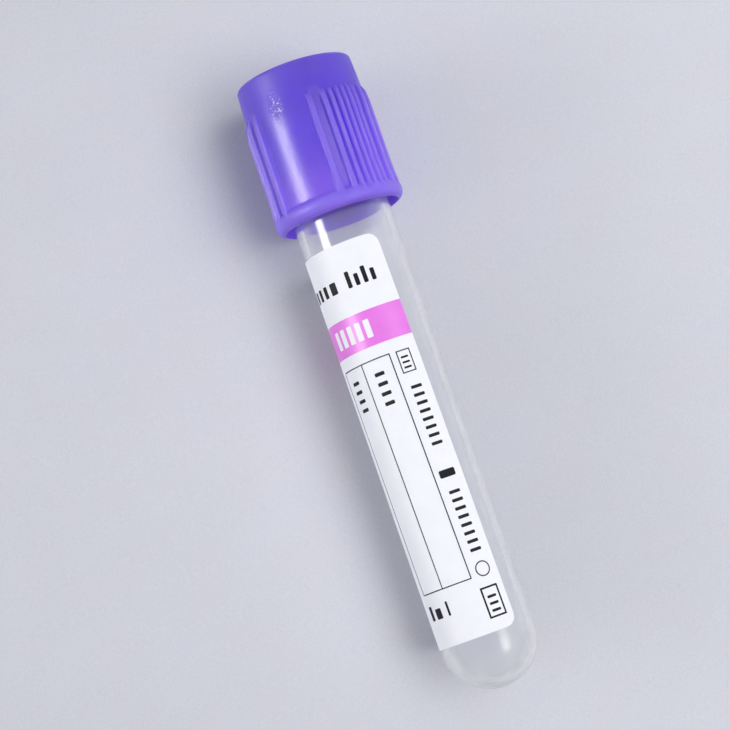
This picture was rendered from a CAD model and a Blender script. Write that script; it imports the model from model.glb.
"""Looks of a capped blood collection tube that stands on its head, dressed over its CAD frame.

Lengths are in millimetres and angles in degrees, as in the part's source, and are turned into
metres where a mesh is made. "Height" is counted along the tube from the tip of its round end,
so it grows downwards. "Level" is counted upwards from the top of the cap, on which it stands.
"Angle" is counted about the axis from the front, positive towards -X.
"""
import math

import bmesh
import bpy
import numpy as np
from mathutils import Matrix, Vector


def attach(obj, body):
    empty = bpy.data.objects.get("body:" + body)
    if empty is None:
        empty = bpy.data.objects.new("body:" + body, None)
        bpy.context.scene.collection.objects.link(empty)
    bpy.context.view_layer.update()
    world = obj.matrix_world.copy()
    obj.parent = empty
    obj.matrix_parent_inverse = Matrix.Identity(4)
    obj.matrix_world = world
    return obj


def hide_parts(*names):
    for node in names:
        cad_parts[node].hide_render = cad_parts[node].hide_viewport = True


MM = 0.001
SHARP_ANGLE = 50.0
# Columns of the turned meshes
TUBE_COLUMNS = 256
STOPPER_COLUMNS = 128
CAP_COLUMNS = 720
# Spacing of the points of the label and its print
SHEET_ROW = 1.5
SHEET_COLUMN = 0.13
# Rounding of a moulded edge
EASE = 0.15

# Tube
TUBE_R = 6.25
TUBE_LEN = 75.0
DRAFT = math.tan(math.radians(0.18))
WALL = 1.0
BOTTOM = 1.2
# Cap, by height
CAP_TOP = 84.0
SHOULDER = 79.7
SHOULDER_R = 7.96
SKIRT_R = 8.05
CROWN_R = 7.8
CROWN_EDGE = 0.55
RIM_MID = 65.05
RIM_R = 7.44
RIM_ROLL = 1.2
RIM_BLEND = 0.25
LIP_R = 7.7
BORE_R = 7.25
SEAT_R = 6.6
FLOOR_LOW = 79.0
RECESS_LOW = 80.4
RECESS_R = 6.7
RECESS_FILLET = 0.3
PORT_R = 3.2
# Stopper
PLUG_LEN = 8.5
PLUG_GAP = 0.03
PLUG_EDGE = 0.5
WELL_R = 2.6
WELL_DEPTH = 2.6
WELL_FILLET = 0.6
HOLLOW_R = 3.0
HOLLOW_DEPTH = 6.4
RUBBER_EASE = 0.2
# Ribs; their halves are half the widths of the crest and the foot
RIB_R = 8.45
PANEL_ANGLE = -22.8
WIDE_RIBS = (29.8, 42.8)
NARROW_RIB = 50.8
RIB_PITCH = 6.8
RIB_COUNT = 5
WIDE_RIB_HALVES = (0.26, 0.50)
NARROW_RIB_HALVES = (0.10, 0.52)
# How much wider and how much further out they are next to the rim, and between which heights
RIB_WIDENING = 0.10
WIDENING_HEIGHTS = (68, 66)
RIB_FLARE = 0.10
FLARE_HEIGHTS = (68.5, 66.2)
# Their rounded upper end, as falls from one height to another
RIB_END = ((0.10, 77.2, 78.4), (0.62, 78.4, 80.2))
# Label
LABEL_FROM = 7.1
LABEL_TO = 59.8
LABEL_W = 21.0
LABEL_EDGE = 35.2
LABEL_T = 0.1
LABEL_R = 6.45
LABEL_FAR = LABEL_EDGE - math.degrees(LABEL_W / LABEL_R)
LABEL_SKEW = 0.01815
LABEL_MID = 38.0
LABEL_CORNER = 1.5
LABEL_UNDER = -0.02
# Print
BAND_FROM = 46.0
BAND_TO = 50.6
INK_UNDER = LABEL_T - 0.02
INK_OVER = LABEL_T + 0.008
MARK_OVER = INK_OVER + 0.006
RULE = 0.15
TABLE_FROM = 14.2
TABLE_TO = 44.4
TABLE_RULES = (1.1, -34.9, -70.9)


# ---------------------------------------------------------------- meshes

def smooth(low, high, x):
    """A smooth step from 0 at low to 1 at high; either of them may be the larger."""
    t = np.clip((x - low) / (high - low), 0.0, 1.0)
    return t * t * (3 - 2 * t)


def smooth_max(a, b, reach):
    """The larger of two values, with the corner between them rounded over reach."""
    gap = np.maximum(reach - np.abs(a - b), 0.0) / reach
    return np.maximum(a, b) + gap * gap * reach / 4


def spot(height, angle, radius):
    """Points in metres, from heights and radii in mm and angles in degrees."""
    height, turn, radius = np.broadcast_arrays(height, np.radians(angle), radius)
    return np.stack([-radius * np.sin(turn), -radius * np.cos(turn), CAP_TOP - height], -1) * MM


def all_round(columns):
    """Evenly spaced angles of the columns of a turned mesh."""
    return np.arange(columns) * 360.0 / columns


def every_column(values, columns):
    """Values with one more axis, along which each is the same for every column."""
    return np.repeat(np.asarray(values)[..., None], columns, -1)


def grid_faces(rows, columns, wrap_rows=False):
    """Quads of a grid of points numbered row by row; its columns go all round."""
    i = np.arange(rows if wrap_rows else rows - 1)[:, None]
    j = np.arange(columns)[None, :]
    below = (i + 1) % rows * columns
    right = (j + 1) % columns
    quads = np.stack([i * columns + j, i * columns + right, below + right, below + j], -1)
    return quads.reshape(-1, 4)


def placed(name, data):
    """A new object of the scene."""
    made = bpy.data.objects.new(name, data)
    bpy.context.scene.collection.objects.link(made)
    return made


def make_object(name, points, faces):
    """A shaded mesh object whose points lie in metres."""
    mesh = bpy.data.meshes.new(name)
    mesh.from_pydata(np.asarray(points).reshape(-1, 3).tolist(), [], np.asarray(faces).tolist())
    work = bmesh.new()
    work.from_mesh(mesh)
    bmesh.ops.remove_doubles(work, verts=work.verts, dist=1e-8)
    bmesh.ops.recalc_face_normals(work, faces=work.faces)
    work.to_mesh(mesh)
    work.free()
    mesh.shade_smooth()
    mesh.set_sharp_from_angle(angle=math.radians(SHARP_ANGLE))
    return placed(name, mesh)


def lathe(name, profile, columns):
    """A closed turned solid from (radius, height) points in order round its section."""
    radius, height = np.array(profile).T
    points = spot(height[:, None], all_round(columns)[None, :], radius[:, None])
    return make_object(name, points, grid_faces(len(profile), columns, wrap_rows=True))


def arc(middle, radius, start, end, steps):
    """Points on a circle in the (radius, height) plane, from one angle to another."""
    turn = np.radians(np.linspace(start, end, steps + 1))
    return [(middle[0] + radius * math.cos(t), middle[1] + radius * math.sin(t)) for t in turn]


def line(start, end, steps):
    """Points between two points, both ends left out."""
    share = np.linspace(0, 1, steps + 1)[1:-1]
    return [tuple(np.array(start) * (1 - t) + np.array(end) * t) for t in share]


def wall_r(height):
    """Outer radius of the drafted tube."""
    return TUBE_R + (height - TUBE_R) * DRAFT


def bore_r(height):
    """Inner radius of the drafted tube."""
    return wall_r(height) - WALL


# ---------------------------------------------------------------- tube and stopper

def make_tube():
    """Clear tube: round end, drafted wall and an eased mouth."""
    top_out = (wall_r(TUBE_LEN) - EASE, TUBE_LEN - EASE)
    top_in = (bore_r(TUBE_LEN) + EASE, TUBE_LEN - EASE)
    bore_mid = (0.0, BOTTOM + bore_r(TUBE_R))
    outside = arc((0.0, TUBE_R), TUBE_R, -90, 0, 40)
    outside += line(outside[-1], (wall_r(TUBE_LEN), top_out[1]), 16)
    mouth = arc(top_out, EASE, 0, 90, 5) + arc(top_in, EASE, 90, 180, 5)
    inside = arc(bore_mid, bore_r(TUBE_R), 0, -90, 40)
    inside = line(mouth[-1], inside[0], 16) + inside
    return lathe("tube_clear", outside + mouth + inside, TUBE_COLUMNS)


def make_stopper():
    """Rubber stopper: plug, flange, needle well and a domed hollow below."""
    low = TUBE_LEN - PLUG_LEN
    low_r = bore_r(low) - PLUG_GAP
    high_r = bore_r(TUBE_LEN) - PLUG_GAP
    well_low = FLOOR_LOW - WELL_DEPTH
    dome_mid = low + HOLLOW_DEPTH - HOLLOW_R
    flange_in = SEAT_R - RUBBER_EASE
    flange_low = TUBE_LEN + RUBBER_EASE
    flange_high = FLOOR_LOW - RUBBER_EASE
    profile = [(HOLLOW_R, dome_mid), (HOLLOW_R, low + RUBBER_EASE)]
    profile += arc((HOLLOW_R + RUBBER_EASE, low + RUBBER_EASE), RUBBER_EASE, 180, 270, 4)
    profile += arc((low_r - PLUG_EDGE, low + PLUG_EDGE), PLUG_EDGE, -90, 0, 6)
    profile += [(high_r, TUBE_LEN - 0.02), (high_r, TUBE_LEN), (flange_in, TUBE_LEN)]
    profile += arc((flange_in, flange_low), RUBBER_EASE, -90, 0, 4)
    profile += arc((flange_in, flange_high), RUBBER_EASE, 0, 90, 4)
    profile += arc((WELL_R + RUBBER_EASE, flange_high), RUBBER_EASE, 90, 180, 4)
    profile += arc((WELL_R - WELL_FILLET, well_low + WELL_FILLET), WELL_FILLET, 0, -90, 5)
    profile += [(0.0, well_low), (0.0, dome_mid + HOLLOW_R)]
    profile += arc((0.0, dome_mid), HOLLOW_R, 86, 4, 14)
    return lathe("stopper_rubber", profile, STOPPER_COLUMNS)


# ---------------------------------------------------------------- cap

def ribs():
    """(angle, half width of the crest, half width of the foot) of every rib, in degrees and mm.

    Each half of the cap has a group: two wide ribs, narrow ones, a wide one in the middle, and
    the same again in mirror order.
    """
    side = [(angle, *WIDE_RIB_HALVES) for angle in WIDE_RIBS]
    side += [(NARROW_RIB + i * RIB_PITCH, *NARROW_RIB_HALVES) for i in range(RIB_COUNT)]
    group = side + [(90, *WIDE_RIB_HALVES)] + [(180 - angle, *halves) for angle, *halves in side]
    return [(PANEL_ANGLE + half + angle, *halves) for half in (0, 180) for angle, *halves in group]


def rib_share(turn, height):
    """How much of a rib's full height there is at each angle (columns) and height (rows)."""
    share = np.zeros((len(height), len(turn)))
    wider = RIB_WIDENING * smooth(*WIDENING_HEIGHTS, height)[:, None]
    for angle, crest, foot in ribs():
        away = np.radians(np.abs((turn - angle + 180) % 360 - 180)) * SKIRT_R
        share = np.maximum(share, 1 - smooth(crest, foot + wider, away[None, :]))
    return share


def skirt_r(height):
    """Plain outer radius of the cap above its rim."""
    low = SKIRT_R + (SHOULDER_R - SKIRT_R) * (height - RIM_MID) / (SHOULDER - RIM_MID)
    high_end = CAP_TOP - CROWN_EDGE
    high = SHOULDER_R + (CROWN_R - SHOULDER_R) * (height - SHOULDER) / (high_end - SHOULDER)
    return np.where(height < SHOULDER, low, high)


def crest_r(height):
    """Outer radius of a rib: it flares towards the rim and has a rounded upper end."""
    flared = RIB_R + RIB_FLARE * smooth(*FLARE_HEIGHTS, height)
    return flared - sum(fall * smooth(low, high, height) for fall, low, high in RIB_END)


def cap_rows():
    """Heights of the outer rows of the cap from the middle of its rim to its crown.

    They are close together where the rim and the ends of the ribs bend.
    """
    return np.concatenate([
        np.linspace(RIM_MID, 66.6, 20), np.linspace(66.9, 76.9, 9), np.linspace(77.2, 80.4, 26),
        np.linspace(80.9, CAP_TOP - CROWN_EDGE, 5)
    ])


def cap_outside(turn, height):
    """Outer radius of the cap at each angle (columns) and height (rows)."""
    bulge = np.sqrt(np.maximum(RIM_ROLL**2 - (height - RIM_MID)**2, 0.0))
    bead = (RIM_R + bulge)[:, None]
    plain = skirt_r(height)[:, None]
    rise = np.maximum(crest_r(height)[:, None] - plain, 0.0)
    ribbed = plain + rise * rib_share(turn, height)
    outer = smooth_max(bead, ribbed, RIM_BLEND)
    outer[0] = bead[0]
    return outer


def cap_top():
    """(radius, height) points over the crown's edge, into the recess and down the port."""
    points = arc((CROWN_R - CROWN_EDGE, CAP_TOP - CROWN_EDGE), CROWN_EDGE, 12, 90, 7)
    points += arc((RECESS_R + EASE, CAP_TOP - EASE), EASE, 90, 180, 4)
    fillet = (RECESS_R - RECESS_FILLET, RECESS_LOW + RECESS_FILLET)
    points += line((RECESS_R, CAP_TOP - EASE), (RECESS_R, fillet[1]), 3)
    points += arc(fillet, RECESS_FILLET, 0, -90, 4)
    # Lead-in of the port, with its corners taken off, and the port's lower edge
    points += [(5.0, RECESS_LOW), (PORT_R + 0.33, RECESS_LOW), (PORT_R + 0.3, RECESS_LOW - 0.02)]
    points += [(PORT_R + 0.02, RECESS_LOW - 0.3), (PORT_R, RECESS_LOW - 0.33)]
    points += [(PORT_R, FLOOR_LOW + 0.05), (PORT_R + 0.05, FLOOR_LOW)]
    return points


def cap_inside():
    """(radius, height) points from the cap's floor to its lip."""
    # Seat of the stopper, and the step from it out to the bore
    points = [(SEAT_R - 0.1, FLOOR_LOW), (SEAT_R, FLOOR_LOW - 0.1), (SEAT_R, 75.35)]
    points += [(SEAT_R + 0.05, 75.27), (BORE_R - 0.05, 74.93), (BORE_R, 74.85)]
    # Bore, which widens towards the lip
    points += [(BORE_R, 70.0), (BORE_R, 66.4), (BORE_R + 0.02, 66.15), (LIP_R - 0.06, 64.2)]
    points += arc((LIP_R + 0.14, 64.0), 0.14, 175, 235, 3)
    return points


def make_cap():
    """Cap: rolled rim, ribbed skirt with plain panels, crown, recess, port and bore."""
    turn = all_round(CAP_COLUMNS)
    height = cap_rows()
    under_rim = arc((RIM_R, RIM_MID), RIM_ROLL, -76, -6, 12)
    rim_r, rim_height = every_column(np.array(under_rim).T, CAP_COLUMNS)
    in_r, in_height = every_column(np.array(cap_top() + cap_inside()).T, CAP_COLUMNS)
    radius = np.concatenate([rim_r, cap_outside(turn, height), in_r])
    heights = np.concatenate([rim_height, every_column(height, CAP_COLUMNS), in_height])
    faces = grid_faces(len(radius), CAP_COLUMNS, wrap_rows=True)
    return make_object("cap_moulding", spot(heights, turn[None, :], radius), faces)


# ---------------------------------------------------------------- label and print

def skewed(height, angle):
    """The slight slant at which the label was stuck on, about a point on its front."""
    shift = LABEL_SKEW * np.radians(angle) * LABEL_R
    twist = np.degrees(LABEL_SKEW * (height - LABEL_MID) / LABEL_R)
    return height + shift, angle - twist


def degrees(width):
    """Angle that a width in mm takes up on the label."""
    return math.degrees(width / LABEL_R)


def patch_rows(length, corner):
    """Places of a patch's rows along it, and how much its corners take off each side there."""
    bend = corner * (1 - np.cos(np.radians(np.linspace(0, 90, 7))))
    middle = np.linspace(corner, length - corner, max(2, int(length / SHEET_ROW) + 1))
    away = np.unique(np.concatenate([bend, middle, length - bend]).round(6))
    near = np.minimum(away, length - away)
    cut = corner - np.sqrt(np.maximum(corner**2 - np.maximum(corner - near, 0.0)**2, 0.0))
    return away, cut


def patch_ends(rows, columns):
    """Quads that close the first and the last row of a patch."""
    j = np.arange(columns - 1)
    ends = []
    for row in (0, rows - 1):
        first = row * columns * 2
        last = first + columns * 2 - 1
        ends.append(np.stack([first + j, first + j + 1, last - 1 - j, last - j], -1))
    return ends


def sheet_shell(low, high, start, end, corner, under, over):
    """Points and faces of a thin rounded patch wrapped on the tube.

    It runs between two heights and two angles, and between two distances from the tube's wall.
    """
    width = math.radians(end - start) * LABEL_R
    length = high - low
    # Two corners have to fit on each side, with a little to spare
    corner = min(corner, min(width, length) / 2.01)
    away, cut = patch_rows(length, corner)
    columns = max(4, int(width / SHEET_COLUMN))
    across = (width - 2 * cut)[:, None] * np.linspace(-0.5, 0.5, columns)[None, :]
    angle = (start + end) / 2 + np.degrees(across / LABEL_R)
    height, angle = skewed(every_column(low + away, columns), angle)
    top = spot(height, angle, wall_r(height) + over)
    back = spot(height, angle, wall_r(height) + under)
    points = np.concatenate([top, back[:, ::-1]], 1)
    faces = [grid_faces(len(away), columns * 2), *patch_ends(len(away), columns)]
    return points.reshape(-1, 3), np.concatenate(faces)


def joined(name, shells):
    """One object from several (points, faces) shells."""
    points = []
    faces = []
    count = 0
    for shell_points, shell_faces in shells:
        points.append(shell_points)
        faces.append(shell_faces + count)
        count += len(shell_points)
    return make_object(name, np.concatenate(points), np.concatenate(faces))


def make_label():
    """White wrap label, bonded into the surface of the tube."""
    shell = sheet_shell(LABEL_FROM, LABEL_TO, LABEL_FAR, LABEL_EDGE, LABEL_CORNER,
                        LABEL_UNDER, LABEL_T)
    return joined("label_paper", [shell])


def ink(low, high, start, end, corner=0.01, over=INK_OVER):
    """Printed patch between two heights and two angles."""
    return sheet_shell(low, high, start, end, corner, INK_UNDER, over)


def make_band():
    """Pink band right across the label."""
    trim = degrees(0.02)
    shell = ink(BAND_FROM, BAND_TO, LABEL_FAR + trim, LABEL_EDGE - trim)
    return joined("label_band_ink", [shell])


def outline(low, high, start, end, stroke=RULE):
    """Four strokes round a box."""
    side = degrees(stroke)
    return [
        ink(low, low + stroke, start, end), ink(high - stroke, high, start, end),
        ink(low + stroke, high - stroke, start, start + side),
        ink(low + stroke, high - stroke, end - side, end)
    ]


def blocks_along(low, high, start, end, count):
    """Row of rounded blocks that runs along the tube."""
    share = 0.38
    pitch = (high - low) / count
    return [
        ink(low + i * pitch, low + (i + share) * pitch, start, end, 0.12) for i in range(count)
    ]


def blocks_round(low, high, start, end, widths, share=0.52, over=INK_OVER):
    """Line of rounded blocks round the tube; a negative width is a block of less height."""
    less = 0.72
    pitch = (end - start) / sum(abs(w) for w in widths)
    made = []
    at = start
    for width in widths:
        step = abs(width) * pitch
        top = high if width > 0 else low + (high - low) * less
        made.append(ink(low, top, at, at + step * share, 0.15, over))
        at += step
    return made


def ring(height, angle, radius):
    """Plain ring printed on the label."""
    stroke = 0.16
    steps = 40
    turn = np.radians(all_round(steps))
    layers = []
    for lift, r in ((INK_UNDER, radius - stroke), (INK_UNDER, radius),
                    (INK_OVER, radius), (INK_OVER, radius - stroke)):
        angles = angle + np.degrees(r * np.sin(turn) / LABEL_R)
        heights, angles = skewed(height + r * np.cos(turn), angles)
        layers.append(spot(heights, angles, wall_r(heights) + lift))
    return np.concatenate(layers), grid_faces(len(layers), steps, wrap_rows=True)


def table_rules():
    """Rules of a table of two columns: across its two ends, and along it."""
    first = TABLE_RULES[0]
    last = TABLE_RULES[-1]
    shells = [
        ink(TABLE_TO - RULE, TABLE_TO, last, first), ink(TABLE_FROM, TABLE_FROM + RULE, last, first)
    ]
    for angle in TABLE_RULES:
        shells.append(ink(TABLE_FROM + RULE, TABLE_TO - RULE, angle - degrees(RULE), angle))
    return shells


def make_print():
    """Rules, outlined boxes, blocks and a ring, in the places of the printed matter."""
    shells = table_rules()
    # Two lines between the band and the label's end nearest the cap
    shells += blocks_round(53.9, 56.1, -16.5, 22.0, (1, -1, 1, -1))
    shells += blocks_round(53.9, 56.1, -101.0, -22.5, (1.1, -1, -1, -1, -1, -1.5))
    # Heads of the table's columns
    shells += blocks_along(38.2, 43.4, -23.5, -11.5, 4)
    shells += blocks_along(38.6, 43.4, -60.0, -48.0, 4)
    # Lines beside the table, and one below it
    shells += blocks_along(31.5, 40.2, 10.8, 24.0, 8)
    shells += blocks_along(17.3, 26.1, 10.3, 23.8, 8)
    shells += blocks_round(10.8, 12.7, -70.0, -33.5, (1, -1.6, 0.5))
    # Boxes with blocks in them, a short stroke and the ring
    shells += outline(41.3, 44.3, 7.9, 24.5)
    shells += blocks_along(41.85, 43.9, 11.5, 20.5, 3)
    shells += outline(8.7, 12.7, 5.2, 26.8, 0.24)
    shells += blocks_along(9.4, 12.1, 10.5, 21.5, 3)
    shells += [ink(27.2, 28.2, 6.8, 26.0, 0.2)]
    shells += [ring(14.97, 17.0, 1.0)]
    return joined("label_print_ink", shells)


def make_band_marks():
    """White blocks left open in the band."""
    marks = blocks_round(47.1, 49.5, -61.5, -4.0, (1, 1, 1, 1, 1), 0.62, MARK_OVER)
    return joined("label_band_marks", marks)


# ---------------------------------------------------------------- materials

# Shares of a place that leave only its distance and direction from the axis
ACROSS = (1.0, 1.0, 0.0)
# Parts of a noise's range that are drawn out
MIDDLE = (0.35, 0.65)
BROAD = (0.3, 0.7)


class Tree:
    """A tree of shader nodes, added and joined in few words."""

    def __init__(self, tree):
        self.tree = tree

    def add(self, kind, **values):
        """A new node with some of its settings."""
        node = self.tree.nodes.new(kind)
        for key, value in values.items():
            setattr(node, key, value)
        return node

    def join(self, source, target):
        """A link from an output to an input."""
        self.tree.links.new(source, target)

    def give(self, target, source):
        """What an input gets: a value, or a link from the output of a node."""
        if isinstance(source, bpy.types.NodeSocket):
            self.join(source, target)
        else:
            target.default_value = source

    def math(self, operation, *sources):
        """One step of arithmetic on values and outputs."""
        node = self.add("ShaderNodeMath", operation=operation)
        for source, target in zip(sources, node.inputs):
            self.give(target, source)
        return node.outputs[0]

    def times(self, first, second):
        """Product of two outputs."""
        return self.math("MULTIPLY", first, second)

    def most(self, first, second):
        """The larger of two outputs."""
        return self.math("MAXIMUM", first, second)

    def plus(self, base, share, step):
        """An output, and as much of a step as share says."""
        return self.math("MULTIPLY_ADD", share, step, base)

    def spread(self, source, low, high, out_low, out_high, ease="LINEAR"):
        """Maps a range of one value onto another."""
        node = self.add("ShaderNodeMapRange", interpolation_type=ease)
        for key, value in zip(("From Min", "From Max", "To Min", "To Max"),
                              (low, high, out_low, out_high)):
            node.inputs[key].default_value = value
        self.join(source, node.inputs["Value"])
        return node.outputs["Result"]

    def fade(self, share, start, end):
        """Goes from start to end as share goes from 0 to 1."""
        return self.spread(share, 0.0, 1.0, start, end)

    def either(self, share, first, second):
        """The first of two shaders, turning into the second as share goes from 0 to 1."""
        node = self.add("ShaderNodeMixShader")
        for source, target in zip((share, first, second), node.inputs):
            self.join(source, target)
        return node.outputs["Shader"]


class Nodes(Tree):
    """The nodes of a new material."""

    def __init__(self, name):
        self.material = bpy.data.materials.new(name)
        self.material.use_nodes = True
        super().__init__(self.material.node_tree)
        self.shader = self.tree.nodes["Principled BSDF"]
        self.output = self.tree.nodes["Material Output"]

    def set(self, **values):
        """Constants on the shader's own sockets."""
        for key, value in values.items():
            self.shader.inputs[key.replace("_", " ")].default_value = value

    def feed(self, source, *sockets):
        """Links from an output to sockets of the shader."""
        for socket in sockets:
            self.join(source, self.shader.inputs[socket])

    def coordinates(self):
        """Place in the object, in metres."""
        return self.add("ShaderNodeTexCoord").outputs["Object"]

    def squeezed(self, shares):
        """Place in the object, with each coordinate times a share."""
        node = self.add("ShaderNodeVectorMath", operation="MULTIPLY")
        self.join(self.coordinates(), node.inputs[0])
        node.inputs[1].default_value = shares
        return node.outputs["Vector"]

    def noise(self, scale, detail=3.0, rough=0.55, stretch=None):
        """Noise in object space; scale is features a metre."""
        source = self.coordinates()
        if stretch:
            mapping = self.add("ShaderNodeMapping")
            mapping.inputs["Scale"].default_value = stretch
            self.join(source, mapping.inputs["Vector"])
            source = mapping.outputs["Vector"]
        node = self.add("ShaderNodeTexNoise")
        node.inputs["Scale"].default_value = scale
        node.inputs["Detail"].default_value = detail
        node.inputs["Roughness"].default_value = rough
        self.join(source, node.inputs["Vector"])
        return node.outputs["Fac"]

    def patches(self, scale, detail=3.0, rough=0.55):
        """Noise with its middle drawn out to run from 0 to 1."""
        return self.spread(self.noise(scale, detail, rough), *MIDDLE, 0.0, 1.0)

    def blend(self, share, first, second):
        """Colour between two colours, each a value or the output of a node."""
        node = self.add("ShaderNodeMix", data_type="RGBA")
        slots = [s for s in node.inputs if s.type == "RGBA"]
        for slot, colour in zip(slots, (first, second)):
            self.give(slot, (*colour, 1.0) if isinstance(colour, tuple) else colour)
        self.join(share, node.inputs["Factor"])
        return [s for s in node.outputs if s.type == "RGBA"][0]

    def between(self, share, first, second):
        """Value between two outputs."""
        node = self.add("ShaderNodeMix")
        self.join(share, node.inputs["Factor"])
        self.join(first, node.inputs["A"])
        self.join(second, node.inputs["B"])
        return node.outputs["Result"]

    def shaded(self, colour, share):
        """A colour, as a value or the output of a node, times a share."""
        node = self.add("ShaderNodeVectorMath", operation="SCALE")
        self.give(node.inputs[0], colour)
        self.join(share, node.inputs["Scale"])
        return node.outputs["Vector"]

    def beyond(self, low, high):
        """0 within one distance in mm from the axis and 1 outside another."""
        away = self.add("ShaderNodeVectorMath", operation="LENGTH")
        self.join(self.squeezed(ACROSS), away.inputs[0])
        return self.spread(away.outputs["Value"], low * MM, high * MM, 0.0, 1.0)

    def rising(self, low, high):
        """0 below one level in mm and 1 above another."""
        parts = self.add("ShaderNodeSeparateXYZ")
        self.join(self.coordinates(), parts.inputs[0])
        return self.spread(parts.outputs["Z"], low * MM, high * MM, 0.0, 1.0, "SMOOTHSTEP")

    def abreast(self, angle, inner, outer):
        """1 within one angle of a plane through the axis and 0 outside another.

        The plane lies at an angle from the front.
        """
        unit = self.add("ShaderNodeVectorMath", operation="NORMALIZE")
        self.join(self.squeezed(ACROSS), unit.inputs[0])
        along = self.add("ShaderNodeVectorMath", operation="DOT_PRODUCT")
        self.join(unit.outputs["Vector"], along.inputs[0])
        turn = math.radians(angle)
        along.inputs[1].default_value = (-math.sin(turn), -math.cos(turn), 0.0)
        low, high = (math.cos(math.radians(a)) for a in (outer, inner))
        return self.spread(self.math("ABSOLUTE", along.outputs["Value"]), low, high, 0.0, 1.0)

    def near(self, place, inner, outer, squeeze):
        """1 near a place in metres, falling to 0 away from it; squeezed where it is long."""
        node = self.add("ShaderNodeVectorMath", operation="DISTANCE")
        self.join(self.squeezed(squeeze), node.inputs[0])
        node.inputs[1].default_value = [a * b for a, b in zip(place, squeeze)]
        return self.spread(node.outputs["Value"], inner, outer, 1.0, 0.0)

    def bump(self, source, depth, after=None):
        """Bump whose depth is in metres, by itself or after another one."""
        node = self.add("ShaderNodeBump")
        node.inputs["Distance"].default_value = depth
        node.inputs["Strength"].default_value = 1.0
        self.join(source, node.inputs["Height"])
        if after is not None:
            self.join(after, node.inputs["Normal"])
        return node.outputs["Normal"]

    def open_for(self, share, tint=(1.0, 1.0, 1.0)):
        """Lets light straight through wherever share is 1."""
        clear = self.add("ShaderNodeBsdfTransparent")
        clear.inputs["Color"].default_value = (*tint, 1.0)
        surface = self.either(share, self.shader.outputs["BSDF"], clear.outputs["BSDF"])
        self.join(surface, self.output.inputs["Surface"])

    def one_sided(self):
        """Lets the back of the surface be seen through."""
        self.open_for(self.add("ShaderNodeNewGeometry").outputs["Backfacing"])

    def passes_light(self, tint):
        """Lets the lamps and the room light what lies behind and inside a clear wall."""
        path = self.add("ShaderNodeLightPath")
        lit = self.most(path.outputs["Is Shadow Ray"], path.outputs["Is Diffuse Ray"])
        self.open_for(lit, tint)


# Two shades of every part of the cap
CAP_SHADES = {
    "crown": ((0.122, 0.071, 0.540), (0.133, 0.078, 0.580)),
    "upper": ((0.112, 0.055, 0.600), (0.120, 0.060, 0.640)),
    "deep": ((0.126, 0.060, 0.760), (0.138, 0.067, 0.810)),
    "thin": ((0.208, 0.098, 0.860), (0.226, 0.107, 0.900)),
    "inside": ((0.225, 0.110, 0.950), (0.245, 0.120, 0.970)),
    "ridge_top": ((0.190, 0.122, 0.640), (0.204, 0.132, 0.670)),
    "ridge_low": ((0.228, 0.146, 0.780), (0.244, 0.158, 0.805))
}
# Levels between which one look of the cap turns into the next
CROWN_TO_UPPER = (0.5, 5.0)
UPPER_TO_DEEP = (6.0, 10.5)
DEEP_TO_THIN = (10.5, 18.0)
RIDGE_TO_LOW = (5.0, 12.0)
SKIRT_GLOSS = (2.5, 8.5)
RIM_GLOSS = (17.3, 18.6)
FLAT_START = (3.6, 4.8)
FLAT_GROWTH = (4.5, 11.0)
FLAT_END = (16.8, 18.0)
# Distances from the axis of the same kind
BORE_TO_SKIRT = (7.35, 7.75)
SKIRT_SURFACE = (7.6, 7.8)
PLAIN_TO_CREST = (8.06, 8.42)
# Angles off the middle of a flat of the same kind
FLAT_TO_RIB = (5.0, 6.3)
# Scuffed patch: its height, angle and radius, and in metres how far it goes
SCUFF_SPOT = (79.1, -26.0, 7.95)
SCUFF_REACH = (0.0005, 0.0013)
SCUFF_SQUEEZE = (1.0, 1.0, 0.57)
SCUFF_TINT = (0.42, 0.36, 0.86)
SPARK_TINT = (0.60, 0.54, 0.94)


def raised(m):
    """1 on the crests of the ribs, and nearly so on the flat between two wide ribs.

    Those flats get as pale as a crest towards the rim.
    """
    share = m.beyond(*PLAIN_TO_CREST)
    middle = sum(WIDE_RIBS) / 2
    above_rim = m.fade(m.rising(*FLAT_END), 1.0, 0.0)
    outside = m.times(above_rim, m.beyond(*SKIRT_SURFACE))
    for angle in (PANEL_ANGLE - middle, PANEL_ANGLE + middle):
        paleness = m.fade(m.rising(*FLAT_GROWTH), 0.5, 0.95)
        flat = m.times(m.abreast(angle, *FLAT_TO_RIB), paleness)
        flat = m.times(flat, m.rising(*FLAT_START))
        share = m.most(share, m.times(flat, outside))
    return share


def cap_colour(m, crest):
    """Dark crown, a skirt that lets more light through towards its rim, and pale crests."""
    tone = m.patches(220)
    shade = {part: m.blend(tone, *pair) for part, pair in CAP_SHADES.items()}
    whole = m.blend(m.rising(*CROWN_TO_UPPER), shade["crown"], shade["upper"])
    whole = m.blend(m.rising(*UPPER_TO_DEEP), whole, shade["deep"])
    whole = m.blend(m.rising(*DEEP_TO_THIN), whole, shade["thin"])
    whole = m.blend(m.beyond(*BORE_TO_SKIRT), shade["inside"], whole)
    ridge = m.blend(m.rising(*RIDGE_TO_LOW), shade["ridge_top"], shade["ridge_low"])
    return m.blend(crest, whole, ridge)


def scuffed_colour(m, scuff, grain, whole):
    """The cap's colour with a paler, speckled patch."""
    worn = m.times(scuff, m.spread(grain, 0.35, 0.75, 0.0, 0.5))
    sparks = m.times(scuff, m.spread(m.noise(3600, 0, 0.5), 0.62, 0.70, 0.0, 1.0))
    return m.blend(sparks, m.blend(worn, whole, SCUFF_TINT), SPARK_TINT)


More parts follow.
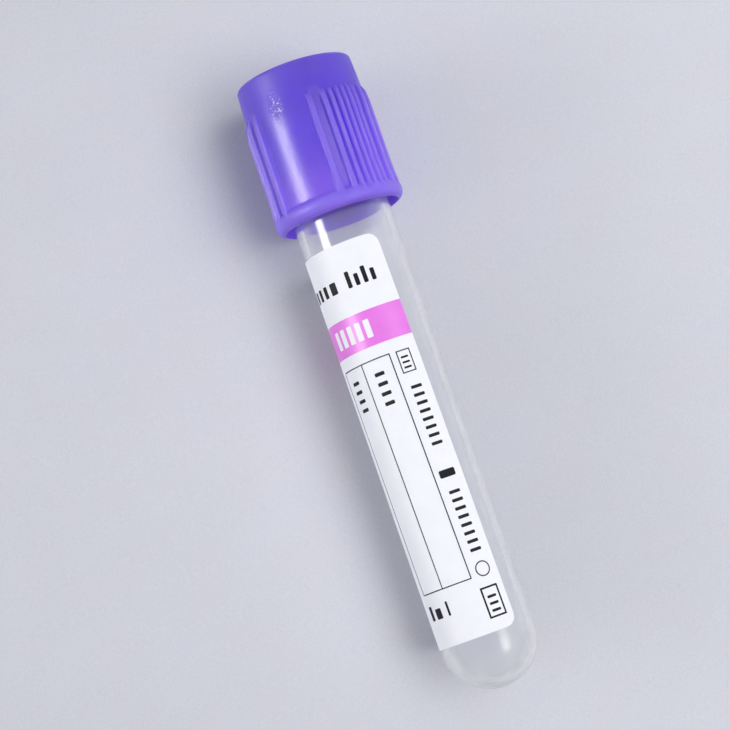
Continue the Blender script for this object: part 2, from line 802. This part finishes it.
def cap_gloss(m, crest, scuffed):
    """Coat and roughness: a glossy skirt under a satin crown, and a scuffed patch that shines."""
    above_rim = m.fade(m.rising(*RIM_GLOSS), 1.0, 0.15)
    skirt = m.times(m.rising(*SKIRT_GLOSS), above_rim)
    coat = m.times(skirt, m.fade(crest, 1.0, 0.35))
    coat = m.times(coat, m.spread(m.noise(2400, 1, 0.5), *MIDDLE, 0.45, 1.5))
    m.feed(m.spread(coat, 0.0, 1.5, 0.05, 0.68), "Coat Weight")
    satin = m.times(m.fade(skirt, 0.46, 0.32), m.spread(m.noise(900, 4), *BROAD, 0.88, 1.12))
    m.feed(m.plus(satin, scuffed, -0.18), "Roughness")


def cap_material():
    """Violet polythene: satin, slightly translucent, with a fine skin and a scuffed patch."""
    m = Nodes("cap_violet_polythene")
    crest = raised(m)
    scuff = m.near(tuple(spot(*SCUFF_SPOT)), *SCUFF_REACH, SCUFF_SQUEEZE)
    grain = m.noise(5200, 1, 0.5)
    scuffed = m.times(scuff, m.spread(grain, *MIDDLE, 0.0, 1.0))
    m.feed(scuffed_colour(m, scuff, grain, cap_colour(m, crest)), "Base Color")
    cap_gloss(m, crest, scuffed)
    skin = m.bump(m.noise(4200, 3, 0.6), 0.000020)
    waves = m.bump(m.noise(180, 2, 0.5), 0.000012, skin)
    m.feed(m.bump(scuffed, 0.00007, waves), "Normal", "Coat Normal")
    m.set(IOR=1.51, Subsurface_Weight=0.8, Subsurface_Scale=0.003)
    m.set(Subsurface_Radius=(0.6, 0.45, 1.0))
    m.set(Coat_Roughness=0.18, Coat_IOR=1.5)
    return m.material


def tube_material():
    """Clear polyester: glossy and faintly wavy, milky at its outlines and in its round end."""
    m = Nodes("tube_clear_polyester")
    round_end = m.rising(75.5, 80.5)
    fine = m.spread(m.noise(700, 3, 0.5), *MIDDLE, 0.04, 0.08)
    m.feed(m.plus(fine, round_end, 0.16), "Roughness")
    m.feed(m.bump(m.noise(160, 2, 0.5, (1.0, 1.0, 0.25)), 0.000004), "Normal", "Coat Normal")
    facing = m.add("ShaderNodeLayerWeight").outputs["Facing"]
    wall = m.spread(facing, 0.10, 0.90, 0.985, 0.70)
    milky = m.spread(facing, 0.30, 0.90, 0.97, 0.45)
    m.feed(m.between(round_end, wall, milky), "Transmission Weight")
    m.set(Base_Color=(0.985, 0.99, 1.0, 1.0), IOR=1.5)
    m.set(Coat_Weight=0.8, Coat_Roughness=0.08, Coat_IOR=1.5)
    m.passes_light((0.94, 0.94, 0.945))
    return m.material


def rubber_material():
    """Dark grey rubber: matt, with a grain."""
    m = Nodes("stopper_grey_rubber")
    greys = m.blend(m.patches(900, 4), (0.030, 0.030, 0.033), (0.048, 0.048, 0.052))
    m.feed(greys, "Base Color")
    m.feed(m.spread(m.noise(2500, 3), *BROAD, 0.5, 0.68), "Roughness")
    m.feed(m.bump(m.noise(3000, 4), 0.00001), "Normal")
    return m.material


def paper_material(name, shades, roughness, gloss=0.5):
    """Coated label stock or the colour printed on it: semi-gloss, with the fibres just felt."""
    m = Nodes(name)
    m.feed(m.blend(m.patches(450, 4, 0.6), *shades), "Base Color")
    fibres = m.noise(1300, 4, 0.65)
    m.feed(m.spread(fibres, *BROAD, *roughness), "Roughness")
    m.feed(m.bump(fibres, 0.000004), "Normal")
    m.set(IOR=1.5, Specular_IOR_Level=gloss)
    return m.material


SURFACE = (0.624, 0.638, 0.704)
SURFACE_PINK = (0.631, 0.633, 0.692)
FLOOR_GLOW = 0.5


def uneven(m):
    """Faint broad lights and darks of a board."""
    return m.spread(m.noise(60, 5, 0.6), *BROAD, 0.985, 1.01)


def matt_board(m, surface):
    """Gives a board its colour, matt and slightly rough; from behind it can be seen through."""
    m.feed(surface, "Base Color")
    m.set(Roughness=0.9, Specular_IOR_Level=0.0)
    m.feed(m.bump(m.noise(900, 4), 0.00002), "Normal")
    m.one_sided()


def wall_material():
    """Pale board with a fine grain."""
    m = Nodes("stage_wall_board")
    grain = m.spread(m.noise(4600, 1, 0.5), *BROAD, 0.965, 1.035)
    paper = m.blend(m.patches(140, 3, 0.6), SURFACE, SURFACE_PINK)
    matt_board(m, m.shaded(paper, m.times(uneven(m), grain)))
    return m.material


def floor_material():
    """Pale board that glows a little, so that it is as light as the room."""
    m = Nodes("stage_floor_board")
    surface = m.shaded(SURFACE, uneven(m))
    matt_board(m, surface)
    m.feed(surface, "Emission Color")
    m.set(Emission_Strength=FLOOR_GLOW)
    return m.material


# ---------------------------------------------------------------- stage

def plane(name, corners, material):
    """A stage board with one face."""
    mesh = bpy.data.meshes.new(name)
    mesh.from_pydata(corners, [], [(0, 1, 2, 3)])
    mesh.materials.append(material)
    made = placed(name, mesh)
    return made


def rest_slant():
    """Angle off upright of the board that touches both the round end and the rim."""
    run = RIM_MID - TUBE_R
    return math.asin((RIM_ROLL - TUBE_R) / math.hypot(run, RIM_R)) + math.atan2(RIM_R, run)


def make_stage():
    """Board that the tube leans against with its round end and rim, and a floor behind it."""
    slant = rest_slant()
    reach = 1.5
    foot = (TUBE_R / math.cos(slant) + (CAP_TOP - TUBE_R) * math.tan(slant)) * MM
    low = foot + reach * math.tan(slant)
    top = foot - reach * math.tan(slant)
    plane("stage_wall", [(-reach, low, -reach), (reach, low, -reach), (reach, top, reach),
                         (-reach, top, reach)], wall_material())
    floor = plane("stage_floor", [(-reach, foot, 0), (reach, foot, 0), (reach, reach, 0),
                                  (-reach, reach, 0)], floor_material())
    floor.visible_shadow = False
    floor.visible_diffuse = False
    floor.visible_glossy = False
    floor.visible_transmission = False


# ---------------------------------------------------------------- lights and camera

LAMP_DISTANCE = 330
GLINT_COLOUR = (1.0, 0.97, 0.86)
ROOM_COLOUR = (0.95, 0.96, 1.0, 1.0)
ROOM_STRENGTH = 0.25


def turned(place, right, up, back):
    """Matrix of a lamp or camera at a place, from its three axes."""
    return Matrix.Translation(place) @ Matrix((right, up, back)).transposed().to_4x4()


def facing_axis(place):
    """Matrix of a lamp at a place that looks level at the tube's axis."""
    back = Vector((place.x, place.y, 0.0)).normalized()
    right = Vector((0, 0, 1)).cross(back).normalized()
    return turned(place, right, back.cross(right), back)


def soften(node_tree, even):
    """Makes a lamp even over a share of its width and length, and fall off to its edges."""
    tree = Tree(node_tree)
    parts = tree.add("ShaderNodeSeparateXYZ")
    tree.join(tree.add("ShaderNodeNewGeometry").outputs["Parametric"], parts.inputs[0])
    falls = []
    for side, share in zip("XY", even):
        away = tree.math("ABSOLUTE", tree.math("SUBTRACT", parts.outputs[side], 0.5))
        falls.append(tree.spread(away, share / 2, 0.5, 1.0, 0.0, "SMOOTHSTEP"))
    tree.join(tree.times(*falls), node_tree.nodes["Emission"].inputs["Strength"])


def soft_light(name, angle, height, width, length, power, even):
    """Soft box beside the tube; angle is counted from the front, as on the tube.

    Clear pieces don't show it, so that it can't be seen through the tube from behind.
    """
    data = bpy.data.lights.new(name, "AREA")
    data.shape = "RECTANGLE"
    data.size = width
    data.size_y = length
    data.energy = power
    data.use_nodes = True
    soften(data.node_tree, even)
    lamp = placed(name, data)
    lamp.matrix_world = facing_axis(Vector(spot(height, angle, LAMP_DISTANCE).tolist()))
    lamp.visible_camera = False
    lamp.visible_transmission = False
    return lamp


def make_lights():
    """Broad box on the right and another on the left, and two that show only as reflections."""
    key = soft_light("key", angle=30, height=35, width=0.30, length=0.45, power=3.08,
                     even=(0.1, 0.2))
    side = soft_light("side", angle=-75, height=105, width=0.24, length=0.42, power=1.75,
                      even=(0.2, 0.2))
    streak = soft_light("streak", angle=-56.5, height=124, width=0.165, length=0.24, power=1.5,
                        even=(0.2, 0.5))
    glint = soft_light("glint", angle=37, height=-120, width=0.22, length=0.36, power=1.0,
                       even=(0.1, 0.3))
    for lamp in (key, side):
        lamp.visible_glossy = False
    for lamp in (streak, glint):
        lamp.visible_diffuse = False
        lamp.data.color = GLINT_COLOUR


def make_world():
    """Even light from all round; what is looked at, mirrored or seen through clear is pale."""
    world = bpy.data.worlds.new("room")
    world.use_nodes = True
    tree = Tree(world.node_tree)
    light = world.node_tree.nodes["Background"]
    light.inputs["Color"].default_value = ROOM_COLOUR
    light.inputs["Strength"].default_value = ROOM_STRENGTH
    pale = tree.add("ShaderNodeBackground")
    pale.inputs["Color"].default_value = (*SURFACE, 1.0)
    path = tree.add("ShaderNodeLightPath").outputs
    seen = tree.most(path["Is Camera Ray"], path["Is Glossy Ray"])
    seen = tree.most(seen, path["Is Transmission Ray"])
    surface = tree.either(seen, light.outputs[0], pale.outputs[0])
    tree.join(surface, world.node_tree.nodes["World Output"].inputs["Surface"])
    bpy.context.scene.world = world


def camera_axes():
    """Right, up and ahead of the camera."""
    yaw = math.radians(-0.690)
    pitch = math.radians(6.232)
    roll = math.radians(-19.024)
    across = Vector((-1, 0, 0))
    away = Vector((0, 1, 0))
    along = Vector((0, 0, -1))
    ahead = (across * math.sin(yaw) * math.cos(pitch) + away * math.cos(yaw) * math.cos(pitch)
             + along * math.sin(pitch))
    right = ahead.cross(along).normalized()
    up = right.cross(ahead)
    turned_right = right * math.cos(roll) + up * math.sin(roll)
    turned_up = up * math.cos(roll) - right * math.sin(roll)
    return turned_right, turned_up, ahead


def make_camera():
    """Looks at the front of the tube, which then lies across the picture with its cap up left."""
    distance = 286.9
    height = 13.35
    data = bpy.data.cameras.new("camera")
    data.sensor_width = 36.0
    data.lens = 110.08
    data.clip_start = 0.01
    data.clip_end = 10.0
    camera = placed("camera", data)
    right, up, ahead = camera_axes()
    place = Vector((0.0, -distance * MM, (CAP_TOP - height) * MM))
    camera.matrix_world = turned(place, right, up, -ahead)
    bpy.context.scene.camera = camera


# ---------------------------------------------------------------- scene

WHITE_SHADES = ((0.852, 0.860, 0.920), (0.876, 0.884, 0.940))
PINK_SHADES = ((0.760, 0.185, 0.745), (0.800, 0.205, 0.780))
BLACK_SHADES = ((0.006, 0.006, 0.008), (0.011, 0.011, 0.013))


def dress(piece, body, node, material):
    """Gives a piece its material, its body and the CAD node that it stands for."""
    piece.data.materials.clear()
    piece.data.materials.append(material)
    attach(piece, body)
    if node:
        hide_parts(node)


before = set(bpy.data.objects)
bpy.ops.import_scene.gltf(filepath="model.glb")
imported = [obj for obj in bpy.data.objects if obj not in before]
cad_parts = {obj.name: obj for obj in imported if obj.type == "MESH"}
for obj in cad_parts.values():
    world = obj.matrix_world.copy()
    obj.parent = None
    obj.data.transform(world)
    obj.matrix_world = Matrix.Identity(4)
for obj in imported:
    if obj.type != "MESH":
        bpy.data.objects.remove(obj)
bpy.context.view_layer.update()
bpy.context.scene.view_settings.view_transform = "Standard"
make_camera()
make_lights()
make_world()
make_stage()
WHITE = paper_material("label_white_stock", WHITE_SHADES, roughness=(0.50, 0.60), gloss=0.3)
PINK = paper_material("label_pink_ink", PINK_SHADES, roughness=(0.28, 0.36))
BLACK = paper_material("label_black_ink", BLACK_SHADES, roughness=(0.5, 0.6), gloss=0.2)
dress(make_cap(), "closure", "cap", cap_material())
dress(make_stopper(), "closure", "stopper", rubber_material())
dress(make_tube(), "tube", "tube", tube_material())
dress(make_label(), "tube", "label", WHITE)
dress(make_band(), "tube", "label_band", PINK)
dress(make_print(), "tube", "label_print", BLACK)
dress(make_band_marks(), "tube", None, WHITE)
